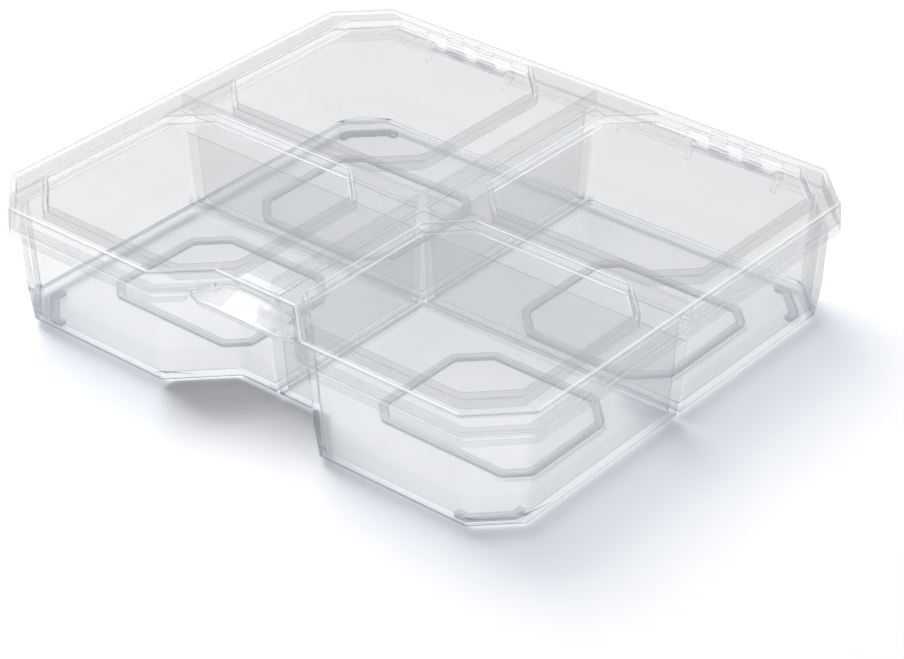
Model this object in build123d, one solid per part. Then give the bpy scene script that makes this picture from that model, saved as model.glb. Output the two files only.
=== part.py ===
from build123d import *
from math import atan, cos, degrees, radians, sin
import os

# Clear plastic storage box with four fixed compartments and a clip-on hinged lid.
# All sizes are millimetres. Front is -Y (thumb lip), hinges are at +Y, the feet stand on Z = 0.

# Outline of the lid's skirt at its lower edge and of the tray's flange
width = 170.7
depth = 147.3
corner_leg = 12.7
corner_round = 1.6

# Finger recess in the middle of the front
recess_mouth = 48.5
recess_back = 25.2
recess_depth = 11.1

# Heights above the table
foot_height = 1.2
floor_top = 2.4
kink_height = 11.0
flange_bottom = 26.7
rim_top = 29.3
skirt_bottom = 29.5
divider_top = 33.9
lid_top = 35.4

# Tray walls: how far they stand inside the outline at the foot, the kink and the flange
inset_foot = 4.65
inset_kink = 3.35
inset_flange = 2.75
inside_floor = 5.8
inside_rim = 4.35
tray_round = 1.2
foot_bevel = 0.6
compartment_round = 1.2
compartment_floor_bevel = 0.7
catch_wall_y = 57.0
tray_mouth = 50.8

# Flange ends beside the thumb lip, and how far the gap between them runs back
flange_end_x = 17.0
flange_end_y = 67.4
flange_gap_slope = 8.0
flange_gap_back = 18.0

# Dividers: a cross of two tapered walls, hollow from below
divider_foot = 3.4
divider_tip = 1.25
slot_mouth = 1.4
slot_tip = 0.25
slot_top = 22.9
slot_lip = 0.65
divider_reach_side = 83.15
divider_reach_back = 71.5
divider_reach_front = 55.7

# Foot rings and corner ribs under the floor
rib = 2.0
ring_inner_x = 21.0
ring_outer_x = 69.0
ring_inner_y = 6.0
ring_outer_y_back = 50.5
ring_outer_y_front = 47.0
ring_leg = 8.0
ring_outer_leg = 5.4
bracket_inner = (68.0, 65.0)
bracket_outer = (75.7, 57.4)
bracket_arm = 3.2

# Hinges: two bars on the tray, gripped by open knuckles on the lid
hinge_offset = 44.4
hinge_y = 73.0
hinge_z = 27.4
bar_radius = 0.9
bar_clearance = 0.05
knuckle_wall = 0.85
knuckle_width = 5.0
knuckle_offset = 5.3
knuckle_gap = (135.0, 295.0)
lug_offset = 13.65
lug_thickness = 1.7
lug_radius = 1.6
lug_drop = 3.8
hinge_window = 30.0
hinge_window_top = 32.2

# Lid shell
skirt = 1.5
sheet = 1.2
lid_edge_round = 1.4
lid_draft = 0.35

# Sunken panels in the lid
panel_depth = 3.1
panel_inner_x = 11.5
panel_outer_x = 76.5
panel_inner_y = 4.35
panel_outer_y_front = 65.7
panel_outer_y_back = 69.6
panel_round = 1.6
panel_floor_bevel = 0.5
panel_rim_bevel = 0.4
panel_legs = {"outer": 9.8, "side": 8.8, "inner": 9.1, "middle": 9.9}

# Catch on the tray, and the window and tongue of the lid that pass it
window_half = 7.5
window_back = 57.2
window_front = 61.0
catch_half = 6.6
catch_reach = 59.3
catch_bevel = 0.8
catch_bottom = 25.0
catch_top = 27.6
tongue_half = 5.8
tongue_front = 61.0
tongue_back = 59.7
tongue_bottom = 26.4

# Thumb lip: a curved visor that bridges the finger recess, in plan and at its root and tip
lip_tip_y = 68.6
lip_tip_half = 12.2
lip_end = (15.6, 67.3)
lip_foot = (18.5, 66.3)
lip_tip_z = 29.3
lip_side_half = 17.0
lip_side_z = 30.2
lip_crown_z = 34.0
lip_thickness = 1.3
lip_edge_bevel = 0.35
lip_arch_half = 11.8

# Small pips on the back wall between the hinges
pip_offset = 8.0
pip_width = 1.2
pip_reach = 0.9
pip_bottom = 24.9

# How far a piece runs into the one it is joined to, and a cutting shape past the face it opens
overlap = 0.2

# The knuckles stand behind the lid, so the whole box is centred on both
knuckle_bore = bar_radius + bar_clearance
knuckle_radius = knuckle_bore + knuckle_wall
centre_shift = (depth / 2 - hinge_y - knuckle_radius) / 2


# Right half of an outline, walked from the recess round to the back, then mirrored to close it
def mirrored_outline(half):
    return half + [(-x, y) for x, y in reversed(half)]


def notched_outline(half_x, half_y, leg, mouth, back, back_y):
    return mirrored_outline([
        (back, -back_y),
        (mouth, -half_y),
        (half_x - leg, -half_y),
        (half_x, -half_y + leg),
        (half_x, half_y - leg),
        (half_x - leg, half_y),
    ])


# Moves each side of a counter-clockwise outline inwards by the same distance
def inset_outline(points, distance):
    moved = []
    for index, point in enumerate(points):
        corner = Vector(*point)
        before = (corner - Vector(*points[index - 1])).normalized()
        after = (Vector(*points[(index + 1) % len(points)]) - corner).normalized()
        normal_before = Vector(-before.Y, before.X)
        normal_after = Vector(-after.Y, after.X)
        step = (normal_before + normal_after) * (distance / (1 + normal_before.dot(normal_after)))
        moved.append(((corner + step).X, (corner + step).Y))
    return moved


def rounded_face(points, height, radius):
    face = make_face(Polyline(*points, close=True))
    if radius > 0:
        face = fillet(face.vertices(), radius)
    return Pos(0, 0, height) * face


def lid_outline(inset):
    points = notched_outline(width / 2, depth / 2, corner_leg, recess_mouth / 2, recess_back / 2,
                             depth / 2 - recess_depth)
    return inset_outline(points, inset)


# The tray's outline just under the flange; its recess has its own mouth and depth
def tray_outline(inset):
    half_y = depth / 2 - inset_flange
    leg = corner_leg - (2 - 2 ** 0.5) * inset_flange
    mouth = tray_mouth / 2
    points = notched_outline(width / 2 - inset_flange, half_y, leg, mouth, mouth - (half_y - catch_wall_y),
                             catch_wall_y)
    return inset_outline(points, inset - inset_flange)


# A block whose drafted walls go from one inset at the bottom to a smaller one at the top
def drafted_block(bottom_inset, top_inset, bottom, top):
    face = make_face(Polyline(*tray_outline(bottom_inset), close=True))
    draft = degrees(atan((bottom_inset - top_inset) / (top - bottom)))
    return extrude(Pos(0, 0, bottom) * face, top - bottom, taper=-draft)


def upright_edges(shape):
    return [edge for edge in shape.edges() if abs((edge @ 1 - edge @ 0).normalized().Z) > 0.9]


def lowest_edges(shape):
    lowest = min(face.center().Z for face in shape.faces())
    return [edge for face in shape.faces() if abs(face.center().Z - lowest) < 0.01 for edge in face.edges()]


def make_outer_body():
    body = drafted_block(inset_foot, inset_kink, foot_height, kink_height)
    body += drafted_block(inset_kink, inset_flange, kink_height, flange_bottom)
    crown = make_face(Polyline(*tray_outline(inset_flange), close=True))
    body += extrude(Pos(0, 0, flange_bottom) * crown, rim_top - flange_bottom)
    body = fillet(upright_edges(body), tray_round)
    return chamfer(lowest_edges(body), foot_bevel)


# The four compartments: the drafted inside of the tray less the two divider walls, bevelled at the floor
def make_compartments():
    above = rim_top + overlap
    bevel_top = floor_top + compartment_floor_bevel
    bottom_inset = inside_floor + compartment_floor_bevel
    rooms = drafted_block(inside_floor, inside_rim, bevel_top, above)
    rooms += drafted_block(bottom_inset, inside_floor, floor_top, bevel_top)
    rooms -= along_x(divider_profile(compartment_floor_bevel), -width, width)
    rooms -= along_y(divider_profile(compartment_floor_bevel), -depth, depth)
    return fillet(upright_edges(rooms), compartment_round)


def make_flange():
    half_gap = [
        (flange_end_x, -flange_end_y),
        (flange_end_x + flange_gap_slope, flange_gap_slope - flange_end_y),
        (flange_end_x + flange_gap_slope, flange_gap_back - flange_end_y),
    ]
    face = make_face(Polyline(*lid_outline(0), close=True))
    face -= make_face(Polyline(*mirrored_outline(half_gap), close=True))
    face = fillet(face.vertices(), corner_round)
    return extrude(Pos(0, 0, flange_bottom) * face, rim_top - flange_bottom)


# Cross-section of a divider in a plane across it, widened at its foot by a bevel
def divider_profile(bevel):
    foot = divider_foot / 2
    tip = divider_tip / 2
    right = [(foot + bevel, floor_top), (foot, floor_top + bevel), (tip, divider_top)]
    if bevel == 0:
        right = right[1:]
    return make_face(Polyline(*mirrored_outline(right), close=True))


def slot_profile():
    mouth = slot_mouth / 2
    tip = slot_tip / 2
    lip_z = foot_height + slot_lip
    bulge = slot_lip * (1 - cos(radians(45)))
    right_lip = ThreePointArc((mouth + slot_lip, foot_height), (mouth + bulge, foot_height + bulge), (mouth, lip_z))
    left_lip = ThreePointArc((-mouth, lip_z), (-mouth - bulge, foot_height + bulge), (-mouth - slot_lip, foot_height))
    sides = Polyline((mouth, lip_z), (tip, slot_top), (-tip, slot_top), (-mouth, lip_z))
    below_z = foot_height - overlap
    below = Polyline((-mouth - slot_lip, foot_height), (-mouth - slot_lip, below_z),
                     (mouth + slot_lip, below_z), (mouth + slot_lip, foot_height))
    return make_face([*right_lip.edges(), *sides.edges(), *left_lip.edges(), *below.edges()])


def along_x(profile, start, end):
    return extrude(Plane.YZ.offset(start) * profile, end - start)


# The XZ plane faces -Y, so its offset and its depth run towards the front
def along_y(profile, start, end):
    return extrude(Plane.XZ.offset(-start) * profile, start - end)


def make_divider_tops():
    profile = divider_profile(0)
    low = rim_top - slot_lip
    above = Pos(0, 0, (low + divider_top) / 2) * Box(2 * width, 2 * depth, divider_top - low)
    across = along_x(profile, -divider_reach_side, divider_reach_side) & above
    lengthways = along_y(profile, -divider_reach_front, divider_reach_back) & above
    return [across, lengthways]


def octagon_points(low_x, high_x, low_y, high_y, leg_inner, leg_side, leg_outer, leg_middle):
    return [
        (low_x + leg_inner, low_y),
        (high_x - leg_side, low_y),
        (high_x, low_y + leg_side),
        (high_x, high_y - leg_outer),
        (high_x - leg_outer, high_y),
        (low_x + leg_middle, high_y),
        (low_x, high_y - leg_middle),
        (low_x, low_y + leg_inner),
    ]


# Rings and corner brackets that stand in the lid of the box below
def make_feet():
    feet = []
    for outer_y in (ring_outer_y_back, ring_outer_y_front):
        points = octagon_points(ring_inner_x, ring_outer_x, ring_inner_y, outer_y, ring_leg, ring_leg,
                                ring_outer_leg, ring_outer_leg)
        outer = rounded_face(points, 0, corner_round + rib / 2)
        inner = rounded_face(inset_outline(points, rib), 0, corner_round)
        ring = extrude(outer - inner, foot_height + overlap)
        path = Polyline((bracket_inner[0] - bracket_arm, bracket_inner[1]), bracket_inner, bracket_outer,
                        (bracket_outer[0], bracket_outer[1] - bracket_arm))
        bracket = extrude(trace(path, rib), foot_height + overlap)
        for piece in (ring, bracket):
            if outer_y == ring_outer_y_front:
                piece = mirror(piece, about=Plane.XZ)
            feet += [piece, mirror(piece, about=Plane.YZ)]
    return feet


# Two lugs and the bar between them, on the outside of the back wall
def make_hinge_mount():
    pieces = []
    root_y = depth / 2 - (inset_flange + inside_rim) / 2
    plate = Polyline((root_y, rim_top), (hinge_y, hinge_z + lug_radius), (hinge_y, hinge_z - lug_radius),
                     (root_y, hinge_z - lug_drop), close=True)
    profile = make_face(plate) + Pos(hinge_y, hinge_z) * Circle(lug_radius)
    for side in (-1, 1):
        middle = side * lug_offset
        pieces.append(along_x(profile, middle - lug_thickness / 2, middle + lug_thickness / 2))
    pieces.append(along_x(Pos(hinge_y, hinge_z) * Circle(bar_radius), -lug_offset, lug_offset))
    return pieces


def make_tray():
    body = make_outer_body() + make_flange()
    catch_depth = catch_reach - catch_wall_y + (inside_rim - inset_flange) / 2
    catch = Pos(0, -catch_reach + catch_depth / 2, (catch_bottom + catch_top) / 2) * Box(
        2 * catch_half, catch_depth, catch_top - catch_bottom)
    nose = catch.edges().filter_by(Axis.X).sort_by(Axis.Y)[:2]
    body += chamfer(nose, catch_bevel)
    back_wall = depth / 2 - inset_flange
    for pip_x in (-pip_offset, pip_offset):
        body += Pos(pip_x, back_wall, (pip_bottom + flange_bottom) / 2) * Box(
            pip_width, 2 * pip_reach, flange_bottom - pip_bottom)
    lug_gap = 2 * lug_offset - lug_thickness
    for hinge_x in (-hinge_offset, hinge_offset):
        body -= Pos(hinge_x, back_wall + inset_flange, rim_top) * Box(
            lug_gap, 2 * inset_flange, 2 * (rim_top - flange_bottom + overlap))
    body -= make_compartments()
    for piece in make_divider_tops() + make_feet():
        body += piece
    for hinge_x in (-hinge_offset, hinge_offset):
        for piece in make_hinge_mount():
            body += Pos(hinge_x, 0, 0) * piece
    body -= along_x(slot_profile(), -width, width)
    body -= along_y(slot_profile(), -depth, depth)
    return body


def panel_points(front):
    outer_y = panel_outer_y_front if front else panel_outer_y_back
    return octagon_points(panel_inner_x, panel_outer_x, panel_inner_y, outer_y, panel_legs["inner"],
                          panel_legs["side"], panel_legs["outer"], panel_legs["middle"])


# A sunken panel's hollow, or with a margin the solid tub around it
def make_panel(front, margin):
    top = lid_top - sheet / 2 if margin else lid_top
    face = rounded_face(inset_outline(panel_points(front), -margin), top, panel_round + margin)
    tub = extrude(face, lid_top - top - panel_depth - margin)
    if margin == 0:
        tub = chamfer(lowest_edges(tub), panel_floor_bevel)
    if front:
        tub = mirror(tub, about=Plane.XZ)
    return [tub, mirror(tub, about=Plane.YZ)]


# The recess as seen from above, out to the middle of the skirt and bounded by the lip's front edge
def lip_plan():
    right = [(lip_tip_half, -lip_tip_y), (lip_end[0], -lip_end[1]), (lip_foot[0], -lip_foot[1]),
             (lip_foot[0], -catch_wall_y)]
    face = make_face(Polyline(*mirrored_outline(right), close=True))
    return face - make_face(Polyline(*lid_outline(skirt / 2), close=True))


# Points of the arch over the visor's top, or over its underside, with the side and crown heights given
def arch_points(side_z, crown_z):
    return [(-lip_side_half, side_z), (0, crown_z), (lip_side_half, side_z)]


# Cross-section of the visor across the lip: an arch at the root, a flat bar at the tip
def lip_section(side_z, crown_z, y):
    top = arch_points(side_z, crown_z)
    under = arch_points(side_z - lip_thickness, crown_z - lip_thickness)
    curved = crown_z > side_z
    over_edge = ThreePointArc(*top) if curved else Line(top[0], top[2])
    under_edge = ThreePointArc(*under) if curved else Line(under[0], under[2])
    ends = [Line(top[0], under[0]), Line(top[2], under[2])]
    edges = [edge for curve in [over_edge, under_edge] + ends for edge in curve.edges()]
    return Plane.XZ.offset(-y) * make_face(edges)


def make_visor():
    root_y = -(depth / 2 - recess_depth - skirt)
    root = lip_section(lip_side_z, lip_crown_z, root_y)
    tip = lip_section(lip_tip_z, lip_tip_z, -lip_tip_y - overlap)
    visor = loft([root, tip], ruled=True) & extrude(lip_plan(), 2 * lid_top)
    front = [edge for edge in visor.edges() if edge.center().Y < -lip_end[1] and abs(edge.center().X) < 1]
    return chamfer(front, lip_edge_bevel)


# The arch below the visor, cut out of the skirt at the back of the recess
def make_lip_opening():
    over = ThreePointArc(*arch_points(lip_side_z - lip_thickness, lip_crown_z - lip_thickness))
    below = skirt_bottom - overlap
    sides = Polyline(over @ 1, (lip_side_half, below), (-lip_side_half, below), over @ 0)
    face = make_face([*over.edges(), *sides.edges()]) & Rectangle(2 * lip_arch_half, 2 * lid_top)
    start = depth / 2 - recess_depth - skirt - 2 * overlap
    return extrude(Plane.XZ.offset(start) * face, skirt + 3 * overlap)


def make_knuckle():
    ring = Circle(knuckle_radius) - Circle(knuckle_bore)
    first, last = (radians(angle) for angle in knuckle_gap)
    reach = 3 * knuckle_radius
    middle = (first + last) / 2
    gap = Polyline((0, 0), (reach * cos(first), reach * sin(first)), (reach * cos(middle), reach * sin(middle)),
                   (reach * cos(last), reach * sin(last)), close=True)
    profile = Pos(hinge_y, hinge_z) * (ring - make_face(gap))
    arm_low = hinge_z + knuckle_bore + overlap
    arm_y = depth / 2 - skirt / 2
    arm_high = hinge_window_top + sheet
    profile += Pos(arm_y, (arm_low + arm_high) / 2) * Rectangle(skirt, arm_high - arm_low)
    return along_x(profile, -knuckle_width / 2, knuckle_width / 2)


def make_lid_shell():
    outline = make_face(Polyline(*lid_outline(0), close=True))
    draft = degrees(atan(lid_draft / (lid_top - skirt_bottom)))
    shell = extrude(Pos(0, 0, skirt_bottom) * outline, lid_top - skirt_bottom, taper=draft)
    shell = fillet(upright_edges(shell), corner_round)
    shell = fillet(shell.faces().sort_by(Axis.Z)[-1].edges(), lid_edge_round)
    inside = rounded_face(lid_outline(skirt + lid_draft / 2), skirt_bottom, corner_round - skirt + lid_draft)
    return shell - extrude(inside, lid_top - sheet - skirt_bottom)


def make_lid():
    shell = make_lid_shell()
    for front in (True, False):
        for tub in make_panel(front, sheet):
            shell += tub
    for front in (True, False):
        for hollow in make_panel(front, 0):
            shell -= hollow
    top_face = shell.faces().sort_by(Axis.Z)[-1]
    shell = chamfer([edge for wire in top_face.inner_wires() for edge in wire.edges()], panel_rim_bevel)
    window_middle = -(window_back + window_front) / 2
    shell -= Pos(0, window_middle, lid_top) * Box(2 * window_half, window_front - window_back, 4 * sheet)
    shell -= make_lip_opening()
    shell += make_visor()
    tongue_height = lid_top - sheet - tongue_bottom
    tongue = Pos(0, -(tongue_front + tongue_back) / 2, tongue_bottom + tongue_height / 2) * Box(
        2 * tongue_half, tongue_front - tongue_back, tongue_height)
    shell += tongue
    for hinge_x in (-hinge_offset, hinge_offset):
        opening_height = hinge_window_top - skirt_bottom + overlap
        shell -= Pos(hinge_x, depth / 2, hinge_window_top - opening_height / 2) * Box(
            hinge_window, 2 * (skirt + lid_draft + overlap), opening_height)
        for side in (-1, 1):
            shell += Pos(hinge_x + side * knuckle_offset, 0, 0) * make_knuckle()
    return shell


os.makedirs("parts", exist_ok=True)
parts = {"base_tray": make_tray(), "lid": make_lid()}
for name, piece in parts.items():
    placed = Pos(0, centre_shift, 0) * piece
    export_step(placed, f"parts/{name}.step")
    print(name, "solids", len(placed.solids()), "volume", round(placed.volume))
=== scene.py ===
import bpy
import math
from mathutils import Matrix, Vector

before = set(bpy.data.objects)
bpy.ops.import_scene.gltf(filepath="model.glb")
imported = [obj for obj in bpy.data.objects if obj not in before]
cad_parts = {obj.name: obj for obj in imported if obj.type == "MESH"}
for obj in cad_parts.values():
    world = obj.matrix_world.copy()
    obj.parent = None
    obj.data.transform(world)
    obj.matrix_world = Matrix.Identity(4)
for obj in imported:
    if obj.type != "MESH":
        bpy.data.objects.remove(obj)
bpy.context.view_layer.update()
print("stage: frame loaded")


def setInputs(node, values):
    for name, value in values.items():
        node.inputs[name].default_value = value


# A socket takes a number, a colour, or what another node gives
def plug(tree, value, socket):
    if isinstance(value, bpy.types.NodeSocket):
        tree.links.new(value, socket)
    else:
        socket.default_value = value


def worked(tree, operation, first, second=0.0):
    node = tree.nodes.new("ShaderNodeMath")
    node.operation = operation
    plug(tree, first, node.inputs[0])
    plug(tree, second, node.inputs[1])
    return node.outputs["Value"]


def ranged(tree, value, spread, result=(0.0, 1.0)):
    node = tree.nodes.new("ShaderNodeMapRange")
    setInputs(node, {"From Min": spread[0], "From Max": spread[1], "To Min": result[0], "To Max": result[1]})
    tree.links.new(value, node.inputs["Value"])
    return node.outputs["Result"]


mixSockets = {"share": 0, "first": 6, "second": 7, "result": 2}        # the colour sockets of a Mix node


def coloured(tree, share, first, second, mode="MIX"):
    node = tree.nodes.new("ShaderNodeMix")
    node.data_type = "RGBA"
    node.blend_type = mode
    plug(tree, share, node.inputs[mixSockets["share"]])
    plug(tree, first, node.inputs[mixSockets["first"]])
    plug(tree, second, node.inputs[mixSockets["second"]])
    return node.outputs[mixSockets["result"]]


def shaded(tree, share, first, second):
    node = tree.nodes.new("ShaderNodeMixShader")
    plug(tree, share, node.inputs["Fac"])
    tree.links.new(first, node.inputs[1])
    tree.links.new(second, node.inputs[2])
    return node.outputs["Shader"]


def seeThrough(tree, colour):
    node = tree.nodes.new("ShaderNodeBsdfTransparent")
    plug(tree, colour, node.inputs["Color"])
    return node.outputs["BSDF"]


# Half of the light is thrown back and half goes on, spread out
def milky(tree, colour):
    front = tree.nodes.new("ShaderNodeBsdfDiffuse")
    back = tree.nodes.new("ShaderNodeBsdfTranslucent")
    for node in (front, back):
        plug(tree, colour, node.inputs["Color"])
    return shaded(tree, 0.5, front.outputs["BSDF"], back.outputs["BSDF"])


# Where the tray's walls stand at the foot, in metres, with the cut corners and the notch of the finger recess
footOutline = {
    "half": (0.0807, 0.0690),
    "cornerSum": 0.13972,        # |x| + |y| along a cut corner
    "notchBack": 0.0551,
    "notchSum": -0.04281,        # |x| + y along a slanted side of the notch
}


# How far a spot lies outside the walls' foot, less than nothing inside
def pastFootOutline(tree, spot):
    sideX = worked(tree, "ABSOLUTE", spot["X"])
    sideY = worked(tree, "ABSOLUTE", spot["Y"])
    pastX = worked(tree, "SUBTRACT", sideX, footOutline["half"][0])
    pastY = worked(tree, "SUBTRACT", sideY, footOutline["half"][1])
    pastSides = worked(tree, "MAXIMUM", pastX, pastY)
    overCorner = worked(tree, "SUBTRACT", worked(tree, "ADD", sideX, sideY), footOutline["cornerSum"])
    pastCorner = worked(tree, "MULTIPLY", overCorner, math.sqrt(0.5))
    pastBack = worked(tree, "SUBTRACT", worked(tree, "MULTIPLY", spot["Y"], -1.0), footOutline["notchBack"])
    underSlant = worked(tree, "MULTIPLY", worked(tree, "ADD", sideX, spot["Y"]), -1.0)
    underSlant = worked(tree, "ADD", underSlant, footOutline["notchSum"])
    pastNotch = worked(tree, "MINIMUM", pastBack, worked(tree, "MULTIPLY", underSlant, math.sqrt(0.5)))
    return worked(tree, "MAXIMUM", pastSides, worked(tree, "MAXIMUM", pastCorner, pastNotch))


# Clear moulded polystyrene: see-through walls that grey at a slant, gloss, and a faint milky veil
clearPlastic = {
    "facing": {"tray": (0.963, 0.964, 0.965, 1), "lid": (0.949, 0.950, 0.951, 1)},
    "slanted": (0.25, 0.26, 0.27, 1),
    "slantPower": 4.0,
    "facingBlend": 0.5,
    "veil": (0.84, 0.845, 0.85, 1),
    "veilShare": 0.04,
    "gloss": (1.0, 1.0, 1.0, 1),
    "roughness": 0.04,
    "shinePower": 5.0,
    "shine": (0.03, 1.0),        # share of gloss face on and edge on
    "waves": {"Scale": 38.0, "Detail": 2.0, "Roughness": 0.4},
    "waveBump": {"Strength": 0.02, "Distance": 0.0002},
}

# Painted shade on low parts: darker tints placed by their height and place in metres, standing in for the shade and
# edge-on greys that fall at the feet of the clear plastic
paintedLowShade = {
    "ribTop": 0.0011,            # painted shade on the foot rings and corner brackets
    "rib": (0.74, 0.75, 0.76, 1),
    "dividerFootTop": 0.0036,    # painted shade where the hollow dividers meet the floor
    "dividerFootHalf": 0.0023,
    "dividerMiddleY": -0.000575,
    "dividerFootShade": (0.86, 0.865, 0.87, 1),
    "footLineTop": 0.0019,       # thin painted shadow line along the lower edge of the walls
    "footLineFrom": -0.0005,
    "footLineShade": (0.60, 0.62, 0.65, 1),
}


# See-through tint that greys at a slant, with painted shade multiplied in on the foot rings, corner brackets, divider
# feet and the walls' lower edge
def seenColour(tree, edgeOn, finishName, spot, past):
    slant = worked(tree, "POWER", edgeOn, clearPlastic["slantPower"])
    tint = coloured(tree, slant, clearPlastic["facing"][finishName], clearPlastic["slanted"])
    isRib = worked(tree, "LESS_THAN", spot["Z"], paintedLowShade["ribTop"])
    tint = coloured(tree, isRib, tint, paintedLowShade["rib"], "MULTIPLY")
    offY = worked(tree, "SUBTRACT", spot["Y"], paintedLowShade["dividerMiddleY"])
    nearX, nearY = (worked(tree, "LESS_THAN", worked(tree, "ABSOLUTE", off), paintedLowShade["dividerFootHalf"])
                    for off in (spot["X"], offY))
    low = worked(tree, "LESS_THAN", spot["Z"], paintedLowShade["dividerFootTop"])
    isDividerFoot = worked(tree, "MULTIPLY", worked(tree, "MAXIMUM", nearX, nearY), low)
    tint = coloured(tree, isDividerFoot, tint, paintedLowShade["dividerFootShade"], "MULTIPLY")
    isFootLine = worked(tree, "MULTIPLY", worked(tree, "GREATER_THAN", past, paintedLowShade["footLineFrom"]),
                        worked(tree, "LESS_THAN", spot["Z"], paintedLowShade["footLineTop"]))
    return coloured(tree, isFootLine, tint, paintedLowShade["footLineShade"], "MULTIPLY")


# Sloping faces are the moulded edges, painted with light and shade: a pale painted highlight where they face up,
# painted grey shade where they are steep, painted dark shade at the feet
paintedEdgeLight = {
    "share": 0.5,
    "pale": (0.86, 0.865, 0.87, 1),
    "steep": (0.42, 0.44, 0.46, 1),
    "steepBelow": 0.5,           # square of the normal's height
    "low": (0.40, 0.42, 0.45, 1),
    "lowTop": 0.0022,
}


def paintEdgeHighlightAndShade(tree, body, level, height):
    isSteep = worked(tree, "LESS_THAN", level, paintedEdgeLight["steepBelow"])
    colour = coloured(tree, isSteep, paintedEdgeLight["pale"], paintedEdgeLight["steep"])
    isLow = worked(tree, "LESS_THAN", height, paintedEdgeLight["lowTop"])
    colour = coloured(tree, isLow, colour, paintedEdgeLight["low"])
    flatness = worked(tree, "ABSOLUTE", worked(tree, "SUBTRACT", level, 1.0))
    slope = worked(tree, "MULTIPLY", level, flatness)        # at most a quarter, halfway between level and upright
    return shaded(tree, worked(tree, "MULTIPLY", slope, 4.0 * paintedEdgeLight["share"]), body, milky(tree, colour))


# What lamp light keeps when it passes through: little at the right and front walls and least in the finger recess
lampThrough = {
    "sheet": (0.975, 0.977, 0.98, 1),
    "wall": (0.72, 0.75, 0.79, 1),
    "foot": (0.50, 0.53, 0.57, 1),
    "footFade": (0.0, 0.014),
    "halfSize": (0.0854, 0.0737),
    "outer": (0.70, 0.76),
    "contact": (0.54, 0.57, 0.61, 1),
    "contactTop": 0.0045,
    "contactFrom": -0.0026,
    "recess": (0.0, 0.01, 0.02, 1),
    "recessHalf": 0.0262,
    "recessRight": 0.0125,
    "recessFrom": -0.0545,
    "recessFade": (0.022, 0.036),
}


def lampColour(tree, spot, turnedZ, past):
    rightward = worked(tree, "DIVIDE", spot["X"], lampThrough["halfSize"][0])
    frontward = worked(tree, "DIVIDE", spot["Y"], -lampThrough["halfSize"][1])
    outer = ranged(tree, worked(tree, "MAXIMUM", rightward, frontward), lampThrough["outer"])
    levelness = worked(tree, "ABSOLUTE", turnedZ)
    upright = worked(tree, "ABSOLUTE", worked(tree, "SUBTRACT", levelness, 1.0))
    nearFoot = ranged(tree, spot["Z"], lampThrough["footFade"])
    wall = coloured(tree, nearFoot, lampThrough["foot"], lampThrough["wall"])
    tint = coloured(tree, worked(tree, "MULTIPLY", upright, outer), lampThrough["sheet"], wall)
    atFoot = worked(tree, "MULTIPLY", worked(tree, "LESS_THAN", spot["Z"], lampThrough["contactTop"]),
                    worked(tree, "GREATER_THAN", past, lampThrough["contactFrom"]))
    tint = coloured(tree, atFoot, tint, lampThrough["contact"])

    inRecess = worked(tree, "LESS_THAN", worked(tree, "ABSOLUTE", spot["X"]), lampThrough["recessHalf"])
    for share in (worked(tree, "LESS_THAN", spot["Y"], lampThrough["recessFrom"]),
                  worked(tree, "LESS_THAN", spot["X"], lampThrough["recessRight"]),
                  ranged(tree, spot["Z"], lampThrough["recessFade"], (1.0, 0.0)),
                  worked(tree, "MAXIMUM", upright, atFoot)):
        inRecess = worked(tree, "MULTIPLY", inRecess, share)
    return coloured(tree, inRecess, tint, lampThrough["recess"])


def makeClearPlastic(finishName):
    material = bpy.data.materials.new("clearPlastic_" + finishName)
    material.use_nodes = True
    tree = material.node_tree
    nodes = tree.nodes
    nodes.clear()
    output = nodes.new("ShaderNodeOutputMaterial")
    place = nodes.new("ShaderNodeTexCoord")
    waves = nodes.new("ShaderNodeTexNoise")
    setInputs(waves, clearPlastic["waves"])
    bump = nodes.new("ShaderNodeBump")
    setInputs(bump, clearPlastic["waveBump"])
    tree.links.new(place.outputs["Object"], waves.inputs["Vector"])
    tree.links.new(waves.outputs["Fac"], bump.inputs["Height"])

    layer = nodes.new("ShaderNodeLayerWeight")
    setInputs(layer, {"Blend": clearPlastic["facingBlend"]})
    edgeOn = layer.outputs["Facing"]
    apart = nodes.new("ShaderNodeSeparateXYZ")
    tree.links.new(place.outputs["Object"], apart.inputs["Vector"])
    spot = apart.outputs
    geometry = nodes.new("ShaderNodeNewGeometry")
    turned = nodes.new("ShaderNodeSeparateXYZ")
    tree.links.new(geometry.outputs["True Normal"], turned.inputs["Vector"])
    turnedZ = turned.outputs["Z"]
    past = pastFootOutline(tree, spot)

    body = shaded(tree, clearPlastic["veilShare"], seeThrough(tree, seenColour(tree, edgeOn, finishName, spot, past)),
                  milky(tree, clearPlastic["veil"]))
    # painted highlight and shade on the sloping edge faces
    edged = paintEdgeHighlightAndShade(tree, body, worked(tree, "MULTIPLY", turnedZ, turnedZ), spot["Z"])
    gloss = nodes.new("ShaderNodeBsdfGlossy")
    setInputs(gloss, {"Color": clearPlastic["gloss"], "Roughness": clearPlastic["roughness"]})
    tree.links.new(bump.outputs["Normal"], gloss.inputs["Normal"])
    shine = ranged(tree, worked(tree, "POWER", edgeOn, clearPlastic["shinePower"]), (0.0, 1.0), clearPlastic["shine"])
    skin = shaded(tree, shine, edged, gloss.outputs["BSDF"])

    path = nodes.new("ShaderNodeLightPath")
    throughLamp = seeThrough(tree, lampColour(tree, spot, turnedZ, past))
    plug(tree, shaded(tree, path.outputs["Is Shadow Ray"], skin, throughLamp), output.inputs["Surface"])
    return material


# Moulded edges are never sharp: each gets a small round that catches the light
edgeRound = {"weld": 0.000002, "width": 0.00022, "segments": 2, "angle": 28.0}


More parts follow.
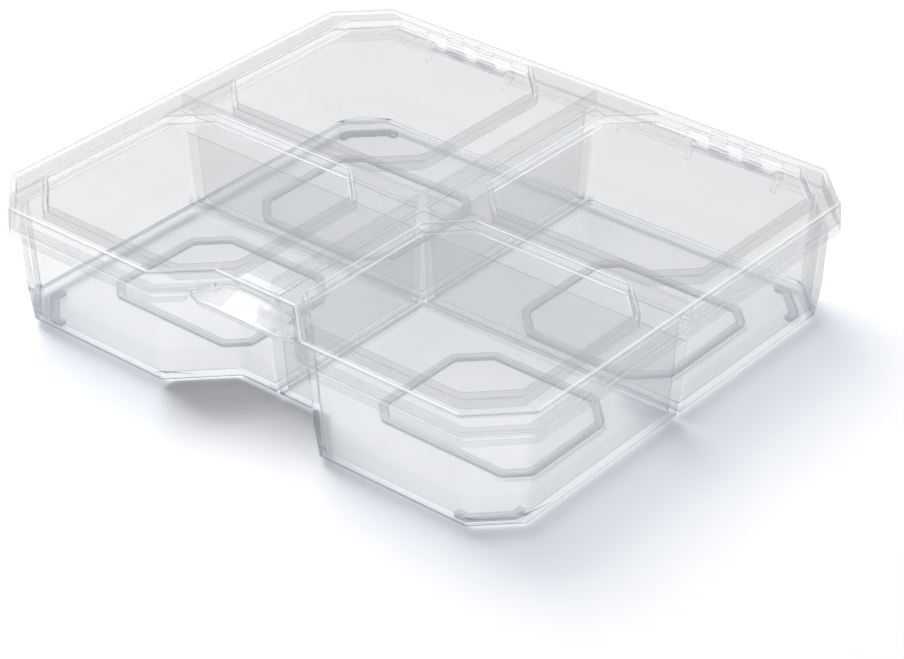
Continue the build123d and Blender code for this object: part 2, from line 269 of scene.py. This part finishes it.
def roundEdges(piece):
    weld = piece.modifiers.new("joinedFacets", "WELD")
    weld.merge_threshold = edgeRound["weld"]
    bevel = piece.modifiers.new("softEdges", "BEVEL")
    bevel.width = edgeRound["width"]
    bevel.segments = edgeRound["segments"]
    bevel.limit_method = "ANGLE"
    bevel.angle_limit = math.radians(edgeRound["angle"])
    bevel.use_clamp_overlap = False
    bevel.harden_normals = True
    bevel.loop_slide = False


for nodeName, finishName in (("base_tray", "tray"), ("lid", "lid")):
    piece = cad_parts[nodeName]
    piece.data.materials.clear()
    piece.data.materials.append(makeClearPlastic(finishName))
    roundEdges(piece)
print("stage: clear plastic set on the tray and the lid")


# Pale floor under the feet
floorSheet = {"size": 6.0, "drop": 0.0002,
              "paint": {"Base Color": (0.935, 0.937, 0.942, 1), "Roughness": 0.75, "Specular IOR Level": 0.1}}


def makeFloor():
    bpy.ops.object.select_all(action="DESELECT")
    bpy.ops.mesh.primitive_plane_add(size=floorSheet["size"], location=(0, 0, -floorSheet["drop"]))
    floor = bpy.context.object
    floor.name = "studioFloor"
    material = bpy.data.materials.new("paleFloor")
    material.use_nodes = True
    setInputs(material.node_tree.nodes["Principled BSDF"], floorSheet["paint"])
    floor.data.materials.append(material)


makeFloor()

# Soft studio light: a broad key from the left and above, and two sheets that only the box mirrors in its edges
softLight = {
    "over": {"place": (-0.85, 0.30, 1.25), "aim": (0.0, 0.0, 0.0), "size": (0.9, 0.9), "power": 27.0},
    "frontShine": {"place": (-0.85, -0.8, 0.95), "aim": (0.0, 0.0, 0.02), "size": (0.9, 0.9), "power": 13.0},
    "backShine": {"place": (0.85, 1.0, 0.9), "aim": (0.0, 0.0, 0.02), "size": (1.1, 1.1), "power": 15.0},
}
surround = {"Color": (0.98, 0.985, 1.0, 1), "Strength": 0.38}
lightPasses = {"sheets": 64, "strayLimit": 2.0}        # see-through faces in a row, and the brightest stray sample

boxPieces = bpy.data.collections.new("boxPieces")
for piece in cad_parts.values():
    boxPieces.objects.link(piece)


def makeLight(name, sheet, mirrored):
    lamp = bpy.data.lights.new(name, "AREA")
    lamp.shape = "RECTANGLE"
    lamp.size, lamp.size_y = sheet["size"]
    lamp.energy = sheet["power"]
    holder = bpy.data.objects.new(name, lamp)
    bpy.context.scene.collection.objects.link(holder)
    holder.location = sheet["place"]
    holder.rotation_euler = (Vector(sheet["aim"]) - Vector(sheet["place"])).to_track_quat("-Z", "Y").to_euler()
    holder.visible_glossy = mirrored
    if mirrored:
        holder.light_linking.receiver_collection = boxPieces


for lightName, sheet in softLight.items():
    makeLight(lightName + "Light", sheet, lightName != "over")

world = bpy.data.worlds.new("paleSurround")
bpy.context.scene.world = world
world.use_nodes = True
setInputs(world.node_tree.nodes["Background"], surround)
bpy.context.scene.view_settings.view_transform = "Standard"
bpy.context.scene.cycles.transparent_max_bounces = lightPasses["sheets"]
bpy.context.scene.cycles.sample_clamp_indirect = lightPasses["strayLimit"]
print("stage: floor and light ready")

# Camera where the photograph was taken from
camera = {"place": (0.4244, -0.500875, 0.4040), "tilt": 57.957, "turn": 39.661, "lens": 119.45, "sensor": 36.0}
cameraData = bpy.data.cameras.new("camera")
cameraData.lens = camera["lens"]
cameraData.sensor_width = camera["sensor"]
cameraObject = bpy.data.objects.new("camera", cameraData)
bpy.context.scene.collection.objects.link(cameraObject)
cameraObject.location = camera["place"]
cameraObject.rotation_euler = (math.radians(camera["tilt"]), 0, math.radians(camera["turn"]))
bpy.context.scene.camera = cameraObject
